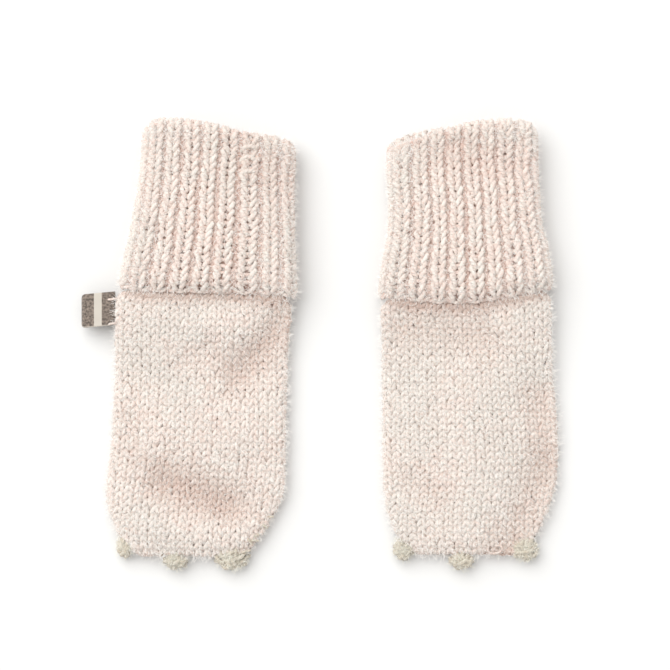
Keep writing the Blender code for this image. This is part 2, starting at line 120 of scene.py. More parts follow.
PALM_CREASES = table(Crease, left=[
    (-21.0, -14.0, -9.0, -30.0, 4.0, 6.0, 0.9), (12.0, -52.0, -6.0, -60.0, 4.5, 7.0, 0.7),
    (18.0, -30.0, 21.0, -41.0, 4.0, 5.0, 0.5),
], right=[
    (15.0, -12.0, 2.0, -21.0, 4.0, 6.0, 0.8), (-20.0, -44.0, -12.0, -66.0, 4.5, 6.0, 0.9),
    (8.0, -62.0, 16.0, -72.0, 5.5, 5.5, 0.5),
])

CUFF_CREASES = table(Crease, left=[
    (14.0, 48.0, 26.0, 36.0, 8.0, 8.0, 1.6),
], right=[
    (-9.0, 47.0, 17.0, 43.0, 7.5, 7.5, 1.4), (-25.0, 49.2, -16.0, 50.0, 1.9, 2.3, 1.5),
    (-5.5, 50.2, -3.5, 50.4, 2.0, 2.3, 1.5),
])

# The tables above are measured from each mitten's hem; the frame says where the pair lies.
palm_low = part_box("left_hand_palm")[0]
SHIFT_X = palm_low.x / MM - CENTRES["left"] + max(row.left for row in HANDS["left"])
SHIFT_Y = palm_low.y / MM - HANDS["left"][0].y
LINE_SAMPLES = 240


def in_place(side, points):
    """Points of a mitten, from its hem's middle in millimetres, as places in the frame."""
    return (points + (CENTRES[side] + SHIFT_X, SHIFT_Y, 0)) * MM


def line(rows, column):
    """A table's column as a finely sampled smooth line without overshoot, for np.interp."""
    if isinstance(column, str):
        column = rows[0]._fields.index(column)
    places = np.array([row[0] for row in rows])
    values = np.array([row[column] for row in rows])
    secants = np.diff(values) / np.diff(places)
    slopes = np.zeros(len(rows))
    slopes[0], slopes[-1] = secants[0], secants[-1]
    before, after = secants[:-1], secants[1:]
    same = before * after > 0
    slopes[1:-1][same] = 2 * (before * after)[same] / (before + after)[same]
    at = np.linspace(places[0], places[-1], LINE_SAMPLES)
    i = np.clip(np.searchsorted(places, at, side="right") - 1, 0, len(rows) - 2)
    span = places[i + 1] - places[i]
    t = (at - places[i]) / span
    return at, (
        values[i] * (1 + 2 * t) * (1 - t) ** 2
        + slopes[i] * span * t * (1 - t) ** 2
        + values[i + 1] * t * t * (3 - 2 * t)
        - slopes[i + 1] * span * t * t * (1 - t)
    )


def smooth_step(t):
    t = np.clip(t, 0.0, 1.0)
    return t * t * (3 - 2 * t)


def rolled(distance, roll):
    share = np.clip(distance / roll, 0.0, 1.0)
    return np.sqrt(1 - (1 - share) ** 2)


def segment_distance(x, y, x0, y0, x1, y1):
    length = (x1 - x0) ** 2 + (y1 - y0) ** 2
    t = np.clip(((x - x0) * (x1 - x0) + (y - y0) * (y1 - y0)) / length, 0, 1)
    return np.hypot(x - x0 - t * (x1 - x0), y - y0 - t * (y1 - y0))


def crease_depth(creases, x, y):
    """How deep a table's creases are at points, in millimetres."""
    depth = 0.0
    for crease in creases:
        x0, y0, x1, y1 = crease[:4]
        on_left = (x1 - x0) * (y - y0) > (y1 - y0) * (x - x0)
        width = np.where(on_left, crease.steep, crease.gentle)
        depth = depth + crease.depth * np.exp(
            -(segment_distance(x, y, x0, y0, x1, y1) / width) ** 2
        )
    return depth


def hand_sides(side, y):
    """Left and right half widths of a hand at distances y from the hem."""
    hem = CUFFS[side][0]
    reach = CHANNEL * (hem.left + hem.right) / 2 - 2 * WALL_GAP
    lean = (hem.right - hem.left) / 2
    swell = rolled(-WALL_GAP - y, HAND_ROLL)
    left = (reach - lean) * (1 - swell) + np.interp(y, *line(HANDS[side], "left")) * swell
    right = (reach + lean) * (1 - swell) + np.interp(y, *line(HANDS[side], "right")) * swell
    return left, right


def hand_y(side, y, x):
    """Near the hem the courses follow the hem's line, and lower down they run straight."""
    hem = CUFFS[side][0]
    across = (x + hem.left) / (hem.left + hem.right)
    return y + smooth_step(1 + y / LIFT_LENGTH) * np.interp(across, *line(RIMS[side], "hem"))


def hand_outline(side):
    levels = np.linspace(0, HANDS[side][0].y, OUTLINE_ROWS)
    left, right = hand_sides(side, levels)
    xs = np.concatenate([-left, right[::-1]])
    ys = np.concatenate([levels, levels[::-1]])
    return xs, hand_y(side, ys, xs)


def hand_course(side, upper, outline, y, shares, inset):
    """Points across one course of a hand, that far inside its outer surface, in millimetres."""
    left, right = hand_sides(side, y)
    climb = smooth_step(1 + y / LIFT_LENGTH)
    floor = (RIB_WALL + WALL_GAP) * climb
    seam = floor + HAND_WALL + WALL_GAP / 2
    crown = np.interp(y, *line(HANDS[side], "crown")) * smooth_step(-y / SWELL_LENGTH)
    middle, reach = (right - left) / 2, (left + right) / 2 - inset
    x = middle + reach * shares
    real_y = hand_y(side, y, x)
    xs, ys = outline
    ends = (values[:, None] for values in (xs[:-1], ys[:-1], xs[1:], ys[1:]))
    away = segment_distance(x[None], real_y[None], *ends).min(axis=0)
    rise = rolled(away - inset, HAND_ROLL - inset)
    creases = (CREASES if upper else PALM_CREASES)[side]
    troughs = rise * smooth_step(-y / HAND_ROLL) * crease_depth(creases, x, real_y)
    if upper:
        z = seam + (HAND_WALL - inset) * rise + crown * (1 - shares ** 2) - troughs
    else:
        z = seam - (seam - floor - inset) * rise + troughs
    return np.stack([x, real_y, z], axis=-1)


def lengths_along(points):
    return np.concatenate([[0], np.cumsum(np.linalg.norm(np.diff(points, axis=0), axis=1))])


def evenly(points, count):
    """A number of points at even distances along a line of points."""
    along = lengths_along(points)
    even = np.linspace(0, along[-1], count)
    return np.stack([np.interp(even, along, points[:, k]) for k in range(3)], axis=-1)


FINE_SHARES = np.sin(np.linspace(-math.pi / 2, math.pi / 2, FINE_POINTS))
SHOULDER = {"left": -62.0, "right": -60.0}


def hand_grid(side, upper, inset, columns, rows):
    """A hand's panel as a grid of even points, their wale and course places and crease depths."""
    outline = hand_outline(side)
    tip = HANDS[side][0].y + inset
    fine_y = TUCK + (tip - TUCK) * np.sin(np.linspace(0, math.pi / 2, SPINE_ROWS))
    spine = np.array([
        hand_course(side, upper, outline, y, np.zeros(1), inset)[0] for y in fine_y
    ])
    down = lengths_along(spine)
    levels = np.interp(np.linspace(0, down[-1], rows), down, fine_y)
    full = sum(hand_sides(side, SHOULDER[side]))
    points, uv = np.zeros((rows, columns, 3)), np.zeros((rows, columns, 2))
    for j, y in enumerate(levels):
        points[j] = evenly(hand_course(side, upper, outline, y, FINE_SHARES, inset), columns)
        narrow = min(1.0, sum(hand_sides(side, y)) / full) if y < SHOULDER[side] else 1.0
        uv[j, :, 0] = 0.5 + narrow * np.linspace(-0.5, 0.5, columns)
        uv[j, :, 1] = j / (rows - 1)
    creases = (CREASES if upper else PALM_CREASES)[side]
    sunk = crease_depth(creases, points[..., 0], points[..., 1]) * MM
    return in_place(side, points), uv, sunk


def grid_faces(rows, columns, flip):
    faces = []
    for j in range(rows - 1):
        for i in range(columns - 1):
            a = j * columns + i
            face = (a, a + columns, a + columns + 1, a + 1)
            faces.append(face[::-1] if flip else face)
    return faces


def add_piece(name, data):
    piece = bpy.data.objects.new(name, data)
    bpy.context.scene.collection.objects.link(piece)
    return piece


def bed_object(points, uv, flip, **values):
    """An open sheet through a grid of points, to lay yarn on, with more values at its points."""
    rows, columns = points.shape[:2]
    mesh = bpy.data.meshes.new("bed")
    mesh.from_pydata(points.reshape(-1, 3).tolist(), [], grid_faces(rows, columns, flip))
    layer = mesh.uv_layers.new(name="UVMap")
    flat = uv.reshape(-1, 2)
    for loop in mesh.loops:
        layer.data[loop.index].uv = flat[loop.vertex_index]
    for name, value in values.items():
        mesh.attributes.new(name, "FLOAT", "POINT").data.foreach_set("value", value.ravel())
    mesh.shade_smooth()
    return add_piece("bed", mesh)


def ring_rows(back, palm):
    """Back and palm panels as rows of closed rings, which share the points at their edges."""
    edges = (back[:, [0, -1]] + palm[:, [0, -1]]) / 2
    return np.concatenate([
        edges[:, :1], back[:, 1:-1], edges[:, 1:], palm[:, -2:0:-1],
    ], axis=1)


def tube_object(name, outer, inner, closed_end):
    """A thin tube between an outer and an inner stack of rings, open or closed at its far end."""
    rows, count = outer.shape[:2]
    half = count // 2
    total = rows * count
    faces = []
    for j in range(rows - 1):
        for i in range(count):
            k = (i + 1) % count
            faces.append((j * count + i, j * count + k, (j + 1) * count + k, (j + 1) * count + i))
    if closed_end:
        last = (rows - 1) * count
        for i in range(half):
            below = last + (count - i) % count
            faces.append((last + i, last + i + 1, last + count - i - 1, below))
    faces = [tuple(dict.fromkeys(face)) for face in faces]
    faces += [tuple(total + k for k in face[::-1]) for face in faces]
    for j in (0,) if closed_end else (0, rows - 1):
        for i in range(count):
            a, b = j * count + i, j * count + (i + 1) % count
            rim = (a, total + a, total + b, b)
            faces.append(rim if j == 0 else rim[::-1])
    mesh = bpy.data.meshes.new(name)
    mesh.from_pydata(np.concatenate([outer, inner]).reshape(-1, 3).tolist(), [], faces)
    mesh.shade_smooth()
    return add_piece(name, mesh)


def add(tree, kind, inputs=None, **settings):
    """A node with its settings, and its inputs as values or as other nodes' outputs."""
    node = tree.nodes.new(kind)
    for key, value in settings.items():
        setattr(node, key, value)
    for key, value in (inputs or {}).items():
        if isinstance(value, bpy.types.NodeSocket):
            tree.links.new(value, node.inputs[key])
        else:
            node.inputs[key].default_value = value
    return node


def made(tree, kind, inputs=None, **settings):
    """The first output of a new node."""
    return add(tree, kind, inputs, **settings).outputs[0]


def maths(tree, operation, *values):
    """The result of one step of arithmetic on numbers or sockets."""
    return made(tree, "ShaderNodeMath", dict(enumerate(values)), operation=operation)


def vectors(tree, operation, first, second):
    """The result of one step of arithmetic on vectors, or of a vector's scaling."""
    other = "Scale" if operation == "SCALE" else 1
    return made(tree, "ShaderNodeVectorMath", {0: first, other: second}, operation=operation)


def share_between(tree, value, low, high, top=1.0, bottom=0.0):
    """A value's place between two limits, as a share that runs from the bottom to the top."""
    return made(tree, "ShaderNodeMapRange", {
        "Value": value, "From Min": low, "From Max": high, "To Min": bottom, "To Max": top,
    })


def read(tree, name, kind="FLOAT"):
    return made(tree, "GeometryNodeInputNamedAttribute", {"Name": name}, data_type=kind)


def store(tree, geometry, name, value, kind="FLOAT"):
    return made(tree, "GeometryNodeStoreNamedAttribute", {
        "Geometry": geometry, "Name": name, "Value": value,
    }, data_type=kind, domain="POINT")


def new_tree(name, numbers, whole_numbers):
    """An empty node tree on a geometry, with named inputs for its sizes and its material."""
    tree = bpy.data.node_groups.new(name, "GeometryNodeTree")
    sockets = tree.interface
    sockets.new_socket("Geometry", in_out="OUTPUT", socket_type="NodeSocketGeometry")
    kinds = [("Geometry", "Geometry")] + [(label, "Float") for label in numbers]
    kinds += [(label, "Int") for label in whole_numbers] + [("Material", "Material")]
    for label, kind in kinds:
        sockets.new_socket(label, in_out="INPUT", socket_type="NodeSocket" + kind)
    return tree, add(tree, "NodeGroupInput").outputs, add(tree, "NodeGroupOutput").inputs[0]


def made_by(tree, bed, name, sizes):
    """The plain mesh that a node tree makes on a bed, as a new object in the bed's stead."""
    modifier = bed.modifiers.new(name, "NODES")
    modifier.node_group = tree
    for item in tree.interface.items_tree:
        if item.item_type == "SOCKET" and item.in_out == "INPUT" and item.name in sizes:
            modifier[item.identifier] = sizes[item.name]
    evaluated = bed.evaluated_get(bpy.context.evaluated_depsgraph_get())
    mesh = bpy.data.meshes.new_from_object(evaluated)
    mesh.name = name
    bed.modifiers.remove(modifier)
    bpy.data.objects.remove(bed, do_unlink=True)
    return add_piece(name, mesh)


KNIT_SIZES = (
    "Wales", "First wale", "First course", "Courses across bed", "Loop height", "Loop swell",
    "Loop depth", "Head drop", "Rib", "Rib relief", "Rib spread", "Yarn radius", "Unevenness",
    "Plump legs", "Edge shade", "Crease shade", "Seed",
)
BED_EDGE = 0.0005
EDGE_COURSES = (1.5, 3.2)
NOISE_A_WALE = 1.1
NOISE_A_COURSE = 3.7
PURL_SWELL = 0.6


def knitting_tree():
    """Courses of yarn in knit loops on a bed: one waving line for each course."""
    tree, size, result = new_tree(
        "knitting", KNIT_SIZES, ("Courses", "Points a stitch", "Yarn sides")
    )
    plus, minus, times, sine, cosine, smaller, larger = (
        partial(maths, tree, operation) for operation in
        ("ADD", "SUBTRACT", "MULTIPLY", "SINE", "COSINE", "MINIMUM", "MAXIMUM")
    )
    course_places = made(tree, "GeometryNodeMeshLine", {
        "Count": size["Courses"], "Offset": (0.0, 0.0, 1.0),
    })
    stepped = made(tree, "GeometryNodeResampleCurve", {
        "Curve": made(tree, "GeometryNodeCurvePrimitiveLine", {"End": (1.0, 0.0, 0.0)}),
        "Count": plus(times(size["Wales"], size["Points a stitch"]), 1.0),
    })
    courses = made(tree, "GeometryNodeInstanceOnPoints", {
        "Points": course_places, "Instance": stepped,
    })
    lines = made(tree, "GeometryNodeRealizeInstances", {"Geometry": courses})

    position = made(tree, "GeometryNodeInputPosition")
    place = add(tree, "ShaderNodeSeparateXYZ", {0: position}).outputs
    course = place["Z"]
    plain_wale = times(place["X"], size["Wales"])
    wale = plus(plain_wale, size["First wale"])
    turn = times(wale, 2 * math.pi)
    once = cosine(turn)
    twice = cosine(times(turn, 2.0))

    # Knit wales stand in front and purl wales behind along a rib course, and the change
    # between them is quick.
    wave = cosine(times(wale, math.pi))
    quick = times(wave, minus(1.5, times(0.5, times(wave, wave))))
    facing = plus(minus(1.0, size["Rib"]), times(size["Rib"], quick))

    noise_at = made(tree, "ShaderNodeCombineXYZ", {
        "X": times(wale, NOISE_A_WALE), "Y": times(course, NOISE_A_COURSE), "Z": size["Seed"],
    })
    noise = add(tree, "ShaderNodeTexNoise", {"Vector": noise_at, "Scale": 1.0, "Detail": 1.0})
    stray = add(tree, "FunctionNodeSeparateColor", {0: noise.outputs["Color"]})
    aside, along, thick = (
        times(minus(channel, 0.5), size["Unevenness"]) for channel in list(stray.outputs)[:3]
    )

    fullness = maths(tree, "MULTIPLY_ADD", facing, 1 - PURL_SWELL, PURL_SWELL)
    swelled = times(times(size["Loop swell"], fullness), sine(times(turn, 2.0)))
    from_rib = sine(times(plus(wale, swelled), math.pi))
    across = plus(plain_wale, plus(swelled, aside))
    across = plus(across, times(size["Rib spread"], from_rib))
    down = plus(plus(plus(course, size["First course"]), along), times(size["Loop height"], once))
    near_edge = share_between(tree, down, *EDGE_COURSES, top=0.0, bottom=1.0)
    down = maths(tree, "DIVIDE", down, size["Courses across bed"])
    place_on_bed = made(tree, "ShaderNodeCombineXYZ", {
        "X": maths(tree, "DIVIDE", across, size["Wales"]),
        "Y": smaller(larger(down, BED_EDGE), 1.0 - BED_EDGE),
    })

    height = minus(minus(0.0, times(size["Head drop"], once)), times(size["Loop depth"], twice))
    height = plus(times(height, facing), times(size["Rib relief"], quick))
    height = plus(height, times(thick, size["Yarn radius"]))
    plumpness = plus(minus(1.0, times(size["Plump legs"], twice)), times(thick, 0.5))
    radius = times(size["Yarn radius"], plumpness)

    on_bed, normal, sunk = (
        add(tree, "GeometryNodeSampleUVSurface", {
            "Mesh": size["Geometry"], "Value": value,
            "UV Map": read(tree, "UVMap", "FLOAT_VECTOR"), "Sample UV": place_on_bed,
        }, data_type="FLOAT_VECTOR").outputs
        for value in (position, made(tree, "GeometryNodeInputNormal"), read(tree, "sunk"))
    )
    laid_at = vectors(
        tree, "ADD", on_bed["Value"], vectors(tree, "SCALE", normal["Value"], height)
    )
    lowest = made(tree, "ShaderNodeCombineXYZ", {"X": -1.0, "Y": -1.0, "Z": radius})
    in_crease = add(tree, "ShaderNodeSeparateXYZ", {0: sunk["Value"]}).outputs["X"]
    # Painted shade: the colour reads the yarn lower than it lies, by the edge shade on the first
    # courses below the cuff's hem, where the hem's shadow falls, and by the crease shade in the
    # creases, so both turn a darker pink.
    shaded = plus(times(size["Edge shade"], near_edge), size["Rib relief"])
    shaded = plus(shaded, times(in_crease, size["Crease shade"]))
    lines = store(tree, lines, "yarn_radius", radius)
    lines = store(tree, lines, "yarn_shade_height", minus(height, shaded))
    lines = store(
        tree, lines, "laid_at", vectors(tree, "MAXIMUM", laid_at, lowest), "FLOAT_VECTOR"
    )
    off_bed = made(tree, "FunctionNodeBooleanMath", {0: on_bed["Is Valid"]}, operation="NOT")
    trimmed = made(tree, "GeometryNodeDeleteGeometry", {"Geometry": lines, "Selection": off_bed})
    laid = made(tree, "GeometryNodeSetPosition", {
        "Geometry": trimmed, "Position": read(tree, "laid_at", "FLOAT_VECTOR"),
    })
    tree.links.new(yarn_nodes(tree, laid, size["Yarn sides"], size["Material"]), result)
    return tree


def yarn_nodes(tree, lines, sides, material):
    """Round yarn along lines that carry their radius, with its own coordinates."""
    length = add(tree, "GeometryNodeSplineParameter").outputs["Length"]
    circle = made(tree, "GeometryNodeCurvePrimitiveCircle", {"Resolution": sides, "Radius": 1.0})
    position = made(tree, "GeometryNodeInputPosition")
    tube = made(tree, "GeometryNodeCurveToMesh", {
        "Curve": store(tree, lines, "yarn_length", length),
        "Profile Curve": store(tree, circle, "yarn_round", position, "FLOAT_VECTOR"),
        "Scale": read(tree, "yarn_radius"), "Fill Caps": True,
    })
    smooth = made(tree, "GeometryNodeSetShadeSmooth", {"Geometry": tube})
    realized = made(tree, "GeometryNodeRealizeInstances", {"Geometry": smooth})
    return made(tree, "GeometryNodeSetMaterial", {"Geometry": realized, "Material": material})


def new_material(name, settings):
    """A material with its shader's own settings, and its tree and shader."""
    material = bpy.data.materials.new(name)
    material.use_nodes = True
    shader = material.node_tree.nodes["Principled BSDF"]
    for label, value in settings.items():
        shader.inputs[label].default_value = value
    return material, material.node_tree, shader


def clouds(tree, place, scale, detail=2.0):
    inputs = {"Vector": place, "Scale": scale, "Detail": detail}
    return add(tree, "ShaderNodeTexNoise", inputs).outputs["Fac"]


def mixed(tree, share, first, second):
    inputs = {"Factor": share, "A": first, "B": second}
    return add(tree, "ShaderNodeMix", inputs, data_type="RGBA").outputs["Result"]


def surface(tree, shader, colour, relief, strength, distance):
    """Gives a shader its colour and a relief."""
    bump = add(tree, "ShaderNodeBump", {
        "Height": relief, "Strength": strength, "Distance": distance,
    })
    tree.links.new(colour, shader.inputs["Base Color"])
    tree.links.new(bump.outputs["Normal"], shader.inputs["Normal"])


def wool(name, pale, warm, cool, shade_and_fleck, twist):
    """Brushed plied yarn: pale in front, with random warm, cool and darker flecks, painted shade in
    a darker pink where it lies low, and a twisted relief.
    """
    material, tree, shader = new_material(name, {
        "Roughness": 0.92, "Specular IOR Level": 0.15, "Sheen Weight": 0.35,
        "Sheen Roughness": 0.62, "Sheen Tint": (1.0, 0.95, 0.92, 1.0),
        "Subsurface Weight": 0.12, "Subsurface Radius": (1.0, 0.7, 0.6),
        "Subsurface Scale": 0.8 * MM,
    })
    place = add(tree, "ShaderNodeTexCoord").outputs["Object"]
    length, height = (
        add(tree, "ShaderNodeAttribute", attribute_name=own).outputs["Fac"]
        for own in ("yarn_length", "yarn_shade_height")
    )
    round_place = add(tree, "ShaderNodeAttribute", attribute_name="yarn_round").outputs["Vector"]
    around = add(tree, "ShaderNodeSeparateXYZ", {0: round_place}).outputs
    angle = maths(tree, "ARCTAN2", around["Y"], around["X"])
    lay = maths(tree, "MULTIPLY_ADD", length, twist, maths(tree, "MULTIPLY", angle, 2.0))
    ply = maths(tree, "MULTIPLY_ADD", maths(tree, "SINE", lay), 0.5, 0.5)
    warmth = share_between(tree, clouds(tree, place, 420.0), 0.38, 0.62)
    coolness = share_between(tree, clouds(tree, place, 45.0), 0.45, 0.65, top=0.7)
    fleck = share_between(tree, clouds(tree, place, 1300.0, 1.0), 0.5, 0.72, top=0.5)
    # Painted shade: the lower the yarn lies, the more it turns to the darker pink.
    depth = share_between(tree, height, 0.35 * MM, -1.25 * MM, top=0.95)
    colour = mixed(tree, warmth, pale, warm)
    colour = mixed(tree, coolness, colour, cool)
    colour = mixed(tree, fleck, colour, shade_and_fleck)
    colour = mixed(tree, depth, colour, shade_and_fleck)
    relief = maths(tree, "MULTIPLY_ADD", ply, 0.3, clouds(tree, place, 1500.0, 3.0))
    surface(tree, shader, colour, relief, 0.8, 0.6 * MM)
    return material


def painted_shade_felt(name, colour, patch):
    """The wool's inner side, painted dark as the shade that shows between the stitches, with random
    paler patches.
    """
    material, tree, shader = new_material(name, {"Roughness": 0.95, "Specular IOR Level": 0.1})
    patches = clouds(tree, add(tree, "ShaderNodeTexCoord").outputs["Object"], 500.0, 3.0)
    surface(tree, shader, mixed(tree, patches, colour, patch), patches, 0.6, 0.4 * MM)
    return material


def yarn_tree():
    """Yarn of one radius along the edges of a wire mesh."""
    tree, size, result = new_tree("yarn", ("Yarn radius",), ("Yarn sides",))
    lines = made(tree, "GeometryNodeMeshToCurve", {"Mesh": size["Geometry"]})
    sized = store(tree, lines, "yarn_radius", size["Yarn radius"])
    tree.links.new(yarn_nodes(tree, sized, size["Yarn sides"], size["Material"]), result)
    return tree


def yarn_piece(name, lines, radius, material):
    """Yarn along open lines of points, given in metres."""
    corners, edges = [], []
    for points in lines:
        first = len(corners)
        corners += [tuple(point) for point in points]
        edges += [(first + k, first + k + 1) for k in range(len(points) - 1)]
    mesh = bpy.data.meshes.new("lines")
    mesh.from_pydata(corners, edges, [])
    return made_by(yarn_laying, add_piece("lines", mesh), name, {
        "Yarn radius": radius * MM, "Yarn sides": STRAND_SIDES, "Material": material,
    })


yarn_laying = yarn_tree()
STRAND_SIDES = 6
HAND_WALES = 19
HAND_COURSES = 38
knitting = knitting_tree()
pink_wool = wool(
    "brushed_pink_wool", pale=(0.865, 0.795, 0.735, 1.0), warm=(0.815, 0.70, 0.635, 1.0),
    cool=(0.765, 0.72, 0.665, 1.0), shade_and_fleck=(0.60, 0.44, 0.37, 1.0), twist=5200.0,
)
inner_wool = painted_shade_felt("painted_shade_lining", (0.38, 0.25, 0.205, 1.0), (0.52, 0.375, 0.31, 1.0))

HAND_BED = 1.45
HAND_BED_POINTS = (61, 91)
HAND_SHELL = (1.9, 2.3)
HAND_SHELL_POINTS = (31, 46)
HAND_SIZES = {
    "Wales": float(HAND_WALES), "First wale": -0.5, "First course": 0.5,
    "Courses across bed": float(HAND_COURSES), "Courses": HAND_COURSES,
    "Loop height": 0.92, "Loop swell": 0.28, "Loop depth": 0.62 * MM,
    "Head drop": 0.2 * MM, "Rib": 0.0, "Rib relief": 0.0, "Rib spread": 0.0,
    "Yarn radius": 0.7 * MM, "Unevenness": 0.6, "Edge shade": 1.4 * MM, "Crease shade": 0.42,
    "Plump legs": 0.2,
    "Material": pink_wool,
}
BACK_YARN = {"Points a stitch": 14, "Yarn sides": 6}
PALM_YARN = {"Points a stitch": 8, "Yarn sides": 5}
PALM_SEED = 40

for side, seed in (("left", 3.0), ("right", 8.0)):
    knitted = []
    for part, upper, fineness in (("back", True, BACK_YARN), ("palm", False, PALM_YARN)):
        points, uv, sunk = hand_grid(side, upper, HAND_BED, *HAND_BED_POINTS)
        knitted.append(made_by(
            knitting, bed_object(points, uv, not upper, sunk=sunk), f"{side}_hand_{part}_knitting",
            HAND_SIZES | fineness | {"Seed": seed if upper else seed + PALM_SEED},
        ))
    walls = []
    for inset in HAND_SHELL:
        back, palm = (
            hand_grid(side, upper, inset, *HAND_SHELL_POINTS)[0] for upper in (True, False)
        )
        walls.append(ring_rows(back, palm))
    tube = tube_object(f"{side}_hand_tube", *walls, closed_end=True)
    tube.data.materials.append(inner_wool)
    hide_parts(f"{side}_hand_back", f"{side}_hand_palm")
    for piece in [tube] + knitted:
        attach(piece, "root")

# The cuffs.  Each is one tube of ribbing, one knit and one purl wale by turns, folded back on
# itself, so its outside runs from the hem up over the fold and down again inside the mouth.
CUFF_LENGTH = 58.0
CUFF_CROWN = 0.6
CUFF_ROLL = 5.0
FOLD_ROLL = 3.2
CUFF_SEAM = RIB_WALL + WALL_GAP + HAND_WALL + WALL_GAP / 2
MOUTH_DEPTH = 10.0
HEM_START = 0.9
HEM_CURL = 2.2
HEM_CURL_LENGTH = 6.0
HEM_SCALLOP = 0.4
HEM_SCALLOP_LENGTH = 3.5
OUTSIDE_ROWS = 90
FOLD_ROWS = 12
MOUTH_ROWS = 12
CAST_ON_YARN = 0.62
CAST_ON_POINTS = 14
CAST_ON_UP = 0.3
CAST_ON_INSET = 1.3
RIB_END_RISE = 1.8
RIB_END_SINK = 1.1
VALLEYS = {
    "left": (0.080, 0.180, 0.288, 0.404, 0.514, 0.636, 0.777, 0.891),
    "right": (0.052, 0.172, 0.292, 0.391, 0.502, 0.611, 0.708, 0.827, 0.936),
}


def cuff_course(side, upper, up, level, shares, inset):
    """Points across a cuff at a distance from its hem: outside at level 1, inside at -1."""
    along = up / CUFF_LENGTH
    left = np.interp(along, *line(CUFFS[side], "left"))
    right = np.interp(along, *line(CUFFS[side], "right"))
    x = (right - left) / 2 + ((left + right) / 2 - inset) * shares
    across = (x + left) / (left + right)
    hem = np.interp(across, *line(RIMS[side], "hem"))
    length = np.interp(across, *line(RIMS[side], "fold" if upper else "fold_under")) - hem
    y = hem + CUFF_LENGTH * along + (length - CUFF_LENGTH) * along ** 2
    away = np.minimum(across, 1 - across) * (left + right)
    roll = rolled(away - inset, CUFF_ROLL - inset)
    valleys = (0.0,) + VALLEYS[side] + (1.0,)
    ribs = np.interp(across, valleys, np.arange(len(valleys)))
    if level > 0:
        scallop = HEM_SCALLOP * smooth_step(1 - up / HEM_SCALLOP_LENGTH)
        y = y + scallop * np.cos(2 * math.pi * ribs)
    full = CUFF_SEAM - WALL_GAP / 2
    crown = CUFF_CROWN * (1 - shares ** 2) if upper else 0.0
    high = (full - inset) * roll + crown
    low = inset * roll + crown
    nose = rolled(CUFF_LENGTH - inset - up, FOLD_ROLL - inset)
    curl = HEM_CURL * smooth_step(1 - up / HEM_CURL_LENGTH) if level > 0 else 0.0
    if upper and level > 0:
        curl = curl + roll * nose * crease_depth(CUFF_CREASES[side], x, y)
    middle, half = (high + low) / 2, (high - low) / 2
    z = CUFF_SEAM + (1 if upper else -1) * (middle + level * half * nose - curl)
    return np.stack([x, y, z], axis=-1)


def cuff_grid(side, upper, inset, hem, columns, rows):
    """A cuff's panel from its hem over the fold, with its wale and course places."""
    fold = CUFF_LENGTH - inset
    turn = FOLD_ROLL - inset
    round_fold = [
        fold - turn * (1 - math.cos(k * math.pi / (2 * FOLD_ROWS)))
        for k in range(FOLD_ROWS - 1, -1, -1)
    ]
    mouth = np.linspace(fold - turn, CUFF_LENGTH - MOUTH_DEPTH, MOUTH_ROWS)
    stations = [(up, 1) for up in np.linspace(hem, fold - turn, OUTSIDE_ROWS)]
    stations += [(up, 1) for up in round_fold]
    stations += [(up, -1) for up in round_fold[-2::-1]]
    stations += [(up, -1) for up in mouth]
    courses = np.array([
        evenly(cuff_course(side, upper, up, level, FINE_SHARES, inset), columns)
        for up, level in stations
    ])
    valleys = (0.0,) + VALLEYS[side] + (1.0,)
    wales = np.interp(np.linspace(0, 1, columns), valleys, np.linspace(0, 1, len(valleys)))
    points = np.stack([evenly(courses[:, i], rows) for i in range(columns)], axis=1)
    uv = np.stack(np.meshgrid(wales, np.linspace(0, 1, rows)), axis=-1)
    creases = CUFF_CREASES[side] if upper else ()
    sunk = crease_depth(creases, points[..., 0], points[..., 1]) * MM + np.zeros((rows, columns))
    return in_place(side, points), uv, sunk


def cast_on(side, upper):
    """The cast-on edge along a cuff's hem, whose yarn rounds the end of each rib."""
    valleys = (0.0,) + VALLEYS[side] + (1.0,)
    points = []
    for start, end in zip(valleys, valleys[1:]):
        for s in np.linspace(-1, 1, CAST_ON_POINTS, endpoint=False):
            share = np.array([start + end - 1 + (end - start) * s])
            up = HEM_START + CAST_ON_UP + RIB_END_RISE * abs(s) ** 2.5
            inset = CAST_ON_INSET + RIB_END_SINK * s * s
            points.append(cuff_course(side, upper, up, 1, share, inset)[0])
    return in_place(side, np.array(points))


CUFF_COURSES = 26
RIB_SPREAD = {"left": 0.2, "right": 0.21}
RIB_YARN = {"Points a stitch": 12, "Yarn sides": 6}
CUFF_BED = 1.9
CUFF_BED_POINTS = (73, 101)
CUFF_SHELL = (2.2, 2.7)
CUFF_SHELL_POINTS = (31, 51)
CUFF_SHELL_START = 1.6
rib_wool = wool(
    "brushed_rib_wool", pale=(0.89, 0.835, 0.775, 1.0), warm=(0.86, 0.735, 0.665, 1.0),
    cool=(0.78, 0.76, 0.70, 1.0), shade_and_fleck=(0.68, 0.49, 0.42, 1.0), twist=5200.0,
)
inner_rib_wool = painted_shade_felt("painted_shade_rib_lining", (0.56, 0.37, 0.30, 1.0), (0.72, 0.53, 0.46, 1.0))
CUFF_SIZES = {
    "First wale": -1.0, "First course": 0.95,
    "Courses across bed": float(CUFF_COURSES), "Courses": CUFF_COURSES,
    "Loop height": 0.92, "Loop swell": 0.29, "Loop depth": 0.35 * MM,
    "Head drop": 0.15 * MM, "Rib": 1.0, "Rib relief": 0.65 * MM,
    "Yarn radius": 0.82 * MM, "Unevenness": 0.7, "Edge shade": 0.0, "Crease shade": 0.3,
    "Plump legs": 0.05,
    "Material": rib_wool,
}

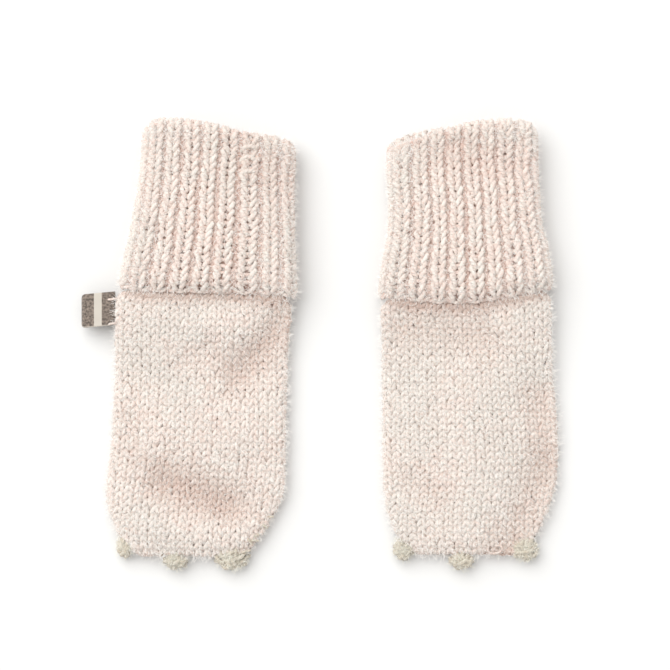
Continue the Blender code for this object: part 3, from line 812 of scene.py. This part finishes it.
# In the left cuff's seventh rib some loops near the fold have slipped and lie wide across it.
SlackLoop = namedtuple("SlackLoop", "up rise lean")
SLACK_LOOPS = [
    SlackLoop(up=49.4, rise=2.4, lean=0.4),
    SlackLoop(up=45.0, rise=2.8, lean=-0.3),
    SlackLoop(up=41.2, rise=1.6, lean=0.5),
]
SLACK_YARN = 0.85
SLACK_POINTS = 18
SLACK_REACH = 0.8
SLACK_INSET = 0.8
SLACK_SINK = 1.6
SLACK_RIB = VALLEYS["left"][5:7]


def slack_loop(loop):
    start, end = SLACK_RIB
    points = []
    for s in np.linspace(-1, 1, SLACK_POINTS):
        share = np.array([start + end - 1 + (end - start) * s * SLACK_REACH])
        up = loop.up + loop.rise * (1 - abs(s) ** 3) + loop.lean * s
        inset = SLACK_INSET + SLACK_SINK * s ** 4
        points.append(cuff_course("left", True, up, 1, share, inset)[0])
    return in_place("left", np.array(points))


for side, seed in (("left", 15.0), ("right", 23.0)):
    wale_count = 2 * (len(VALLEYS[side]) + 1)
    knitted = []
    for part, upper, fineness in (("back", True, RIB_YARN), ("palm", False, PALM_YARN)):
        points, uv, sunk = cuff_grid(side, upper, CUFF_BED, HEM_START, *CUFF_BED_POINTS)
        knitted.append(made_by(
            knitting, bed_object(points, uv, upper, sunk=sunk), f"{side}_cuff_{part}_knitting",
            CUFF_SIZES | fineness | {
                "Wales": float(wale_count), "Seed": seed if upper else seed + PALM_SEED,
                "Rib spread": RIB_SPREAD[side],
            },
        ))
        knitted.append(yarn_piece(
            f"{side}_cuff_{part}_cast_on", [cast_on(side, upper)], CAST_ON_YARN, rib_wool
        ))
    if side == "left":
        knitted.append(yarn_piece(
            "left_cuff_slack_loops", [slack_loop(loop) for loop in SLACK_LOOPS],
            SLACK_YARN, rib_wool,
        ))
    walls = []
    for inset in CUFF_SHELL:
        back, palm = (
            cuff_grid(side, upper, inset, CUFF_SHELL_START, *CUFF_SHELL_POINTS)[0]
            for upper in (True, False)
        )
        walls.append(ring_rows(back, palm)[:, ::-1])
    tube = tube_object(f"{side}_cuff_tube", *walls, closed_end=False)
    tube.data.materials.append(inner_rib_wool)
    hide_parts(f"{side}_cuff_back", f"{side}_cuff_palm")
    for piece in [tube] + knitted:
        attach(piece, "root")

# The nap.  Brushed fibres of the same wool lie over the whole knitting and stand out a little
# at its edges.  They are narrow bent ribbons, strewn over each panel a little inside its yarn.
FIBRE_FLOOR = 0.05 * MM
NAP_SIZES = ("Density", "Length", "Rise", "Bend", "Width")


def nap_tree():
    """Loose fibres strewn over a bed: each a narrow bent ribbon that starts among the yarn."""
    tree, size, result = new_tree("nap", NAP_SIZES, ("Seed",))
    times = partial(maths, tree, "MULTIPLY")
    strewn = add(tree, "GeometryNodeDistributePointsOnFaces", {
        "Mesh": size["Geometry"], "Seed": size["Seed"],
        "Density": times(size["Density"], read(tree, "nap_share")),
    }).outputs
    fibre = made(tree, "GeometryNodeResampleCurve", {
        "Curve": made(tree, "GeometryNodeCurvePrimitiveLine", {"End": (0.0, 0.0, 1.0)}), "Count": 3,
    })
    way = made(tree, "FunctionNodeRandomValue", {
        0: (-1.0, -1.0, -1.0), 1: (1.0, 1.0, 1.0), "Seed": size["Seed"],
    }, data_type="FLOAT_VECTOR")
    raised = vectors(tree, "SCALE", strewn["Normal"], size["Rise"])
    cut = add(tree, "FunctionNodeRandomValue", {
        2: 0.4, 3: 1.0, "Seed": size["Seed"],
    }, data_type="FLOAT")
    fibres = made(tree, "GeometryNodeInstanceOnPoints", {
        "Points": strewn["Points"], "Instance": fibre,
        "Rotation": made(tree, "FunctionNodeAlignRotationToVector", {
            "Vector": vectors(tree, "ADD", way, raised),
        }, axis="Z"),
        "Scale": times(size["Length"], cut.outputs[1]),
    })
    loose = made(tree, "GeometryNodeRealizeInstances", {"Geometry": fibres})
    position = made(tree, "GeometryNodeInputPosition")
    noise = add(tree, "ShaderNodeTexNoise", {"Vector": position, "Scale": 700.0})
    sway = vectors(tree, "SUBTRACT", noise.outputs["Color"], (0.5, 0.5, 0.5))
    along = add(tree, "GeometryNodeSplineParameter").outputs["Factor"]
    offset = vectors(tree, "SCALE", sway, times(along, size["Bend"]))
    swayed = vectors(tree, "ADD", position, offset)
    bent = made(tree, "GeometryNodeSetPosition", {
        "Geometry": loose,
        "Position": vectors(tree, "MAXIMUM", swayed, (-1.0, -1.0, FIBRE_FLOOR)),
    })
    half = times(size["Width"], 0.5)
    ribbon = made(tree, "GeometryNodeCurvePrimitiveLine", {
        "Start": made(tree, "ShaderNodeCombineXYZ", {"X": times(half, -1.0)}),
        "End": made(tree, "ShaderNodeCombineXYZ", {"X": half}),
    })
    meshed = made(tree, "GeometryNodeCurveToMesh", {"Curve": bent, "Profile Curve": ribbon})
    finished = made(tree, "GeometryNodeSetMaterial", {
        "Geometry": meshed, "Material": size["Material"],
    })
    tree.links.new(finished, result)
    return tree


def fibre_material(name, colour):
    """Single fine fibres, in two close tones."""
    material, tree, shader = new_material(name, {"Roughness": 0.7, "Specular IOR Level": 0.2})
    patches = clouds(tree, add(tree, "ShaderNodeTexCoord").outputs["Object"], 300.0)
    pale = tuple(min(1.0, channel * 1.1) for channel in colour[:3]) + (1.0,)
    tree.links.new(mixed(tree, patches, colour, pale), shader.inputs["Base Color"])
    return material


napping = nap_tree()
pale_fibre = fibre_material("pale_fibre", (0.92, 0.89, 0.86, 1.0))
NAP = {
    "Length": 2.8 * MM, "Rise": 0.6, "Bend": 2.4 * MM, "Width": 0.08 * MM,
    "Material": pale_fibre,
}
NAP_DENSITY = {"back": 2.2e6, "palm": 0.4e6}
RIM_NAP = {"back": 2.2, "palm": 4.0}
RIB_NAP = 2.3
MIDDLE_RIB_NAP = 0.5
HEM_NAP = 1.5
EDGE_POINTS = 2
NAP_ON_FOLD = slice(38, 43)
HAND_NAP_INSET = 0.7
CUFF_NAP_INSET = 1.4


def strewn_nap(name, points, uv, shares, flip, sizes):
    """Nap on a grid of points, denser where the shares are higher."""
    return made_by(napping, bed_object(points, uv, flip, nap_share=shares), name, sizes)


for side, seed in (("left", 1), ("right", 2)):
    for part, upper in (("back", True), ("palm", False)):
        hand = hand_grid(side, upper, HAND_NAP_INSET, *HAND_SHELL_POINTS)
        cuff = cuff_grid(side, upper, CUFF_NAP_INSET, HEM_START, *CUFF_SHELL_POINTS)
        for place, (points, uv, _), rim_rows in (
            ("hand", hand, slice(-EDGE_POINTS, None)), ("cuff", cuff, NAP_ON_FOLD),
        ):
            shares = np.ones(points.shape[:2])
            shares[:, :EDGE_POINTS] = shares[:, -EDGE_POINTS:] = RIM_NAP[part]
            shares[rim_rows] = RIM_NAP[part]
            if place == "cuff":
                inner = shares[:, EDGE_POINTS:-EDGE_POINTS]
                from_middle = np.linspace(-1, 1, inner.shape[1])
                inner *= MIDDLE_RIB_NAP + RIB_NAP * from_middle ** 2
                shares[:EDGE_POINTS] *= HEM_NAP
            name = f"{side}_{place}_{part}_nap"
            nap = strewn_nap(name, points, uv, shares, upper == (place == "cuff"), NAP | {
                "Density": NAP_DENSITY[part], "Seed": seed,
            })
            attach(nap, "root")

# The claws.  Each is a small crocheted knot of thick cream yarn, worked onto the tip's edge,
# with a fuzz of its own.  The knot is one yarn wound round a flattened ball.
CLAW_YARN = 0.68
CLAW_LIFT = 0.3
KNOT_POINTS = 130
WINDING_REACH = 0.8
FUZZ_POINTS = (9, 13)
FUZZ_REACH = 1.5
Claw = namedtuple("Claw", "x y width length height turn")
CLAWS = {
    "left": [
        Claw(x=-26.4, y=-82.9, width=5.4, length=7.6, height=5.0, turn=0.25),
        Claw(x=-9.6, y=-87.6, width=7.8, length=6.0, height=5.4, turn=0.0),
        Claw(x=9.0, y=-86.7, width=10.8, length=7.8, height=5.6, turn=-0.3),
    ],
    "right": [
        Claw(x=-20.6, y=-83.8, width=6.6, length=7.6, height=5.0, turn=0.35),
        Claw(x=-1.4, y=-87.5, width=8.0, length=6.2, height=5.4, turn=0.0),
        Claw(x=19.8, y=-83.9, width=8.6, length=7.6, height=5.4, turn=-0.5),
    ],
}
# Each claw's yarn is wound three times, the last time inside the others.
Winding = namedtuple("Winding", "turns aim lean size")
WINDINGS = (
    Winding(turns=5, aim=0.5, lean=0.25, size=1.0),
    Winding(turns=3, aim=-0.9, lean=-0.35, size=1.04),
    Winding(turns=5, aim=1.9, lean=0.5, size=0.72),
)


def wound(claw, winding, reach):
    """Yarn in neighbouring turns round a claw's form, in millimetres from its centre."""
    aim, lean = claw.turn + winding.aim, winding.lean
    t = np.linspace(0, 2 * math.pi * winding.turns, KNOT_POINTS)
    offset = np.linspace(-WINDING_REACH, WINDING_REACH, KNOT_POINTS)[:, None]
    axis = np.array([
        math.cos(aim) * math.cos(lean), math.sin(aim) * math.cos(lean), math.sin(lean),
    ])
    level = np.array([-math.sin(aim), math.cos(aim), 0.0])
    circle = np.outer(np.cos(t), level) + np.outer(np.sin(t), np.cross(axis, level))
    ball = offset * axis + np.sqrt(1 - offset ** 2) * circle
    wobble = 1 + 0.13 * np.sin(2.3 * t + claw.width) + 0.09 * np.sin(5.1 * t + claw.length)
    return ball * reach * wobble[:, None] * winding.size


cream_wool = wool(
    "cream_wool", pale=(0.78, 0.74, 0.635, 1.0), warm=(0.68, 0.605, 0.49, 1.0),
    cool=(0.65, 0.625, 0.535, 1.0), shade_and_fleck=(0.34, 0.29, 0.22, 1.0), twist=4200.0,
)
CLAW_NAP = {
    "Length": 2.4 * MM, "Rise": 0.5, "Bend": 2.4 * MM, "Width": 0.1 * MM, "Density": 4.5e6,
    "Material": fibre_material("cream_fibre", (0.84, 0.815, 0.735, 1.0)),
}
for side in ("left", "right"):
    for number, claw in enumerate(CLAWS[side], start=1):
        centre = np.array([
            CENTRES[side] + SHIFT_X + claw.x, SHIFT_Y + claw.y, claw.height / 2 + CLAW_LIFT,
        ])
        reach = np.array([claw.width, claw.length, claw.height]) / 2 - CLAW_YARN
        lines = [
            np.maximum(wound(claw, winding, reach) + centre, (-100, -100, CLAW_YARN)) * MM
            for winding in WINDINGS
        ]
        knot = yarn_piece(f"{side}_claw_knot_{number}", lines, CLAW_YARN, cream_wool)
        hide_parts(f"{side}_claw_{number}")
        climb, turn = np.meshgrid(
            np.linspace(-FUZZ_REACH, FUZZ_REACH, FUZZ_POINTS[0]),
            np.linspace(0, 2 * math.pi, FUZZ_POINTS[1]), indexing="ij",
        )
        ball = np.stack([
            np.cos(climb) * np.cos(turn), np.cos(climb) * np.sin(turn), np.sin(climb),
        ], axis=-1)
        fuzz = strewn_nap(
            f"{side}_claw_fuzz_{number}", (ball * reach + centre) * MM,
            np.stack([turn, climb], axis=-1), np.ones(climb.shape), True,
            CLAW_NAP | {"Seed": number},
        )
        for piece in (knot, fuzz):
            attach(piece, "root")

# Single strands: the seam's stitches up the left tip's slant, a stray loop at the right tip, and
# the two stitches that hold the label.  Each is a line of x, y and z from the mitten's hem.
STRAND_YARN = 0.38
STITCH_CORNERS = 5
STITCH_POINTS = 12
LABEL_STITCH_POINTS = 16
LOOP_POINTS = 30
SEAM_START = (14.2, -84.6)
SEAM_END = (24.6, -71.0)
SeamStitch = namedtuple("SeamStitch", "along inward length slant")
SEAM_STITCHES = [
    SeamStitch(along=0.02, inward=0.6, length=3.0, slant=0.9),
    SeamStitch(along=0.16, inward=1.4, length=2.2, slant=-0.3),
    SeamStitch(along=0.27, inward=0.4, length=2.6, slant=0.6),
    SeamStitch(along=0.46, inward=1.8, length=1.8, slant=1.1),
    SeamStitch(along=0.60, inward=0.5, length=2.1, slant=0.1),
    SeamStitch(along=0.86, inward=1.1, length=1.7, slant=0.8),
]
OUTWARD = math.atan2(-0.62, 0.78)
SEAM_HEIGHT = 5.3
SEAM_ARCH = 0.08
SEAM_FALL = 0.4
STRAY_LOOP = [
    (7.6, -82.4, 5.0), (7.2, -84.0, 5.3), (8.6, -85.2, 5.0), (10.8, -84.9, 5.0),
    (12.0, -83.6, 5.3), (11.2, -82.5, 5.0), (9.6, -82.8, 5.3),
]
LABEL_STITCHES = [
    [(-28.8, -0.9, 7.5), (-30.0, -1.1, 7.5), (-31.2, -1.2, 7.3), (-31.6, -1.2, 6.8)],
    [(-28.8, -9.2, 7.0), (-30.0, -9.1, 7.2), (-31.1, -9.3, 7.0), (-31.5, -9.4, 6.4)],
]


def strand(side, corners, count):
    """A smooth line of points in metres through the corners of a strand."""
    corners = np.array(corners)
    at = lengths_along(corners)
    even = np.linspace(0, at[-1], count)
    points = np.stack([
        np.interp(even, *line([(a, v) for a, v in zip(at, corners[:, k])], 1)) for k in range(3)
    ], axis=-1)
    return in_place(side, points)


seam_lines = []
for stitch in SEAM_STITCHES:
    x = SEAM_START[0] + (SEAM_END[0] - SEAM_START[0]) * stitch.along
    y = SEAM_START[1] + (SEAM_END[1] - SEAM_START[1]) * stitch.along
    ahead = OUTWARD + stitch.slant
    places = stitch.length * np.linspace(-1, 1, STITCH_CORNERS) / 2 - stitch.inward
    arch = SEAM_HEIGHT - SEAM_ARCH * (places + stitch.inward) ** 2
    arch -= SEAM_FALL * np.clip(places, 0, 3)
    seam_lines.append(strand("left", np.stack([
        x + places * math.cos(ahead), y + places * math.sin(ahead), arch,
    ], axis=-1), STITCH_POINTS))
strands = [
    yarn_piece("left_seam_stitches", seam_lines, STRAND_YARN, cream_wool),
    yarn_piece(
        "right_stray_loop", [strand("right", STRAY_LOOP, LOOP_POINTS)], STRAND_YARN, pink_wool
    ),
    yarn_piece(
        "left_label_stitches",
        [strand("left", corners, LABEL_STITCH_POINTS) for corners in LABEL_STITCHES],
        STRAND_YARN, pink_wool,
    ),
]
for piece, slot in zip(strands, ("cream_yarn", "pink_yarn", "pink_yarn")):
    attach(piece, "root")

# The label.  A narrow brown tape in plain weave, with one plain cream stripe, is folded in two
# and its ends are caught in the left mitten's side seam.
LABEL_TOP = 1.4
LABEL_WIDTH = 11.1
LABEL_REACH = 10.2
LABEL_BEND = 1.35
LABEL_THICKNESS = 0.5
LABEL_SLOPE = 0.09
LABEL_DROOP = 1.2
LABEL_SEAM = 5.6
LABEL_ROWS = 41
LABEL_RUN_POINTS = 14
LABEL_BEND_POINTS = 13
LABEL_CORNER = 1.3
LABEL_INSIDE = 1.0
LABEL_RIPPLE = 0.12
STRIPE_WIDTH = 2.6
STRIPE_MIDDLE = 5.6
SELVEDGE = 0.35
WARP_PITCH = 0.42
WEFT_PITCH = 0.5


def tape_side(radius):
    """The folded tape seen along its width: out on top, round the bend, and back below."""
    away = LABEL_REACH - LABEL_BEND
    angles = np.linspace(math.pi / 2, -math.pi / 2, LABEL_BEND_POINTS)
    run = np.linspace(-LABEL_INSIDE, away, LABEL_RUN_POINTS)[:-1]
    top = [(x, radius) for x in run]
    bend = [(away + radius * math.cos(angle), radius * math.sin(angle)) for angle in angles]
    back = [(x, -radius) for x in run[::-1]]
    return np.array(top + bend + back)


def tape_points(radius):
    away, up = tape_side(radius).T
    width = np.linspace(0, LABEL_WIDTH, LABEL_ROWS)
    ripple = LABEL_RIPPLE * np.sin(width * 1.1)[:, None] * (away / LABEL_REACH)
    x = SEAM_X - away + 0 * width[:, None]
    past = np.clip(away - LABEL_REACH + LABEL_CORNER, 0, LABEL_CORNER)
    narrowing = LABEL_CORNER - np.sqrt(LABEL_CORNER ** 2 - past ** 2)
    from_middle = (width / LABEL_WIDTH - 0.5)[:, None] * (LABEL_WIDTH - 2 * narrowing)
    y = SHIFT_Y + LABEL_TOP - LABEL_WIDTH / 2 - from_middle - LABEL_SLOPE * away
    z = LABEL_SEAM + up - LABEL_DROOP * (away / LABEL_REACH) ** 2 + ripple
    return np.stack([x, y, z], axis=-1) * MM


def woven(name, ground, stripe):
    """Close plain weave with one woven-in plain stripe, read from the tape's own coordinates."""
    material, tree, shader = new_material(name, {
        "Roughness": 0.62, "Specular IOR Level": 0.3, "Sheen Weight": 0.25,
    })
    minus, times, larger = (
        partial(maths, tree, operation) for operation in ("SUBTRACT", "MULTIPLY", "MAXIMUM")
    )
    uv = made(tree, "ShaderNodeUVMap", uv_map="UVMap")
    place = add(tree, "ShaderNodeSeparateXYZ", {0: uv}).outputs
    warp, weft = (
        maths(tree, "SINE", times(place[axis], 2 * math.pi / pitch))
        for axis, pitch in (("X", WARP_PITCH), ("Y", WEFT_PITCH))
    )
    weave = times(warp, weft)
    tone = maths(tree, "MULTIPLY_ADD", weave, 0.12, clouds(tree, uv, 1.3, 3.0))
    dark = tuple(channel * 0.45 for channel in ground[:3]) + (1.0,)
    light = tuple(channel * 1.7 for channel in ground[:3]) + (1.0,)
    thread = mixed(tree, share_between(tree, tone, 0.36, 0.64), dark, light)
    from_stripe = maths(tree, "ABSOLUTE", minus(place["X"], STRIPE_MIDDLE))
    in_stripe = maths(tree, "LESS_THAN", from_stripe, STRIPE_WIDTH / 2)
    at_selvedge = maths(tree, "GREATER_THAN", place["Y"], LABEL_WIDTH - SELVEDGE)
    striped = mixed(tree, larger(in_stripe, times(at_selvedge, 0.7)), thread, stripe)
    surface(tree, shader, striped, weave, 0.5, 0.1 * MM)
    return material


seam_side = max(row.left for row in HANDS["left"] if row.y > -LABEL_WIDTH)
SEAM_X = CENTRES["left"] + SHIFT_X - seam_side - WALL_GAP
outer, inner = tape_points(LABEL_BEND), tape_points(LABEL_BEND - LABEL_THICKNESS)
rows, columns = outer.shape[:2]
faces = grid_faces(rows, columns, True)
count = rows * columns
faces += [tuple(count + k for k in face[::-1]) for face in faces]
edge = list(range(columns)) + [j * columns + columns - 1 for j in range(1, rows)]
edge += [(rows - 1) * columns + i for i in range(columns - 2, -1, -1)]
edge += [j * columns for j in range(rows - 2, 0, -1)]
faces += [(b, a, count + a, count + b) for a, b in zip(edge, edge[1:] + edge[:1])]
label_mesh = bpy.data.meshes.new("label")
label_mesh.from_pydata(np.concatenate([outer, inner]).reshape(-1, 3).tolist(), [], faces)
label_uv = label_mesh.uv_layers.new(name="UVMap")
tape_length = lengths_along(tape_side(LABEL_BEND))
for loop in label_mesh.loops:
    j, i = divmod(loop.vertex_index % count, columns)
    label_uv.data[loop.index].uv = (tape_length[i], LABEL_WIDTH * j / (rows - 1))
label_mesh.shade_smooth()
label = add_piece("label_tape", label_mesh)
label.data.materials.append(
    woven("brown_tape", (0.185, 0.148, 0.122, 1.0), (0.62, 0.57, 0.50, 1.0))
)
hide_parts("left_label")
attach(label, "root")

# The floor, the light and the camera.  The floor is plain and white, the light comes from one
# large soft window up on the left, and the camera looks straight down as the photograph does.
VIEW_X = SHIFT_X * MM
VIEW_Y = SHIFT_Y * MM - 0.0129
VIEW_WIDTH = 0.2211
CAMERA_HEIGHT = 0.86
PIECE_HEIGHT = 0.007
SENSOR = 36.0
FLOOR_REACH = 3.0
WINDOW_SIZE = 4.4
WINDOW_POWER = 135.0
WINDOW_PLACE = (-1.35, 1.75, 2.85)
SKY_STRENGTH = 0.69

corners = [(-1, -1), (1, -1), (1, 1), (-1, 1)]
floor_mesh = bpy.data.meshes.new("floor")
floor_mesh.from_pydata(
    [(x * FLOOR_REACH, y * FLOOR_REACH, 0) for x, y in corners], [], [(0, 1, 2, 3)]
)
floor = add_piece("floor", floor_mesh)
floor_mesh.materials.append(new_material("white_floor", {
    "Base Color": (0.82, 0.82, 0.81, 1.0), "Roughness": 0.9, "Specular IOR Level": 0.1,
})[0])

world = bpy.data.worlds.new("studio")
world.use_nodes = True
sky = world.node_tree.nodes["Background"]
sky.inputs["Color"].default_value = (1.0, 0.99, 0.98, 1.0)
sky.inputs["Strength"].default_value = SKY_STRENGTH
bpy.context.scene.world = world

light = bpy.data.lights.new("window", "AREA")
light.shape = "DISK"
light.size = WINDOW_SIZE
light.energy = WINDOW_POWER
window = add_piece("window", light)
window.location = WINDOW_PLACE
aim = Vector((VIEW_X, VIEW_Y, 0.0)) - Vector(WINDOW_PLACE)
window.rotation_euler = aim.to_track_quat("-Z", "Y").to_euler()

camera_data = bpy.data.cameras.new("camera")
camera_data.sensor_width = SENSOR
camera_data.lens = SENSOR * (CAMERA_HEIGHT - PIECE_HEIGHT) / VIEW_WIDTH
camera_data.clip_end = 10.0
camera = add_piece("camera", camera_data)
camera.location = (VIEW_X, VIEW_Y, CAMERA_HEIGHT)
bpy.context.scene.camera = camera
bpy.context.scene.view_settings.view_transform = "Standard"
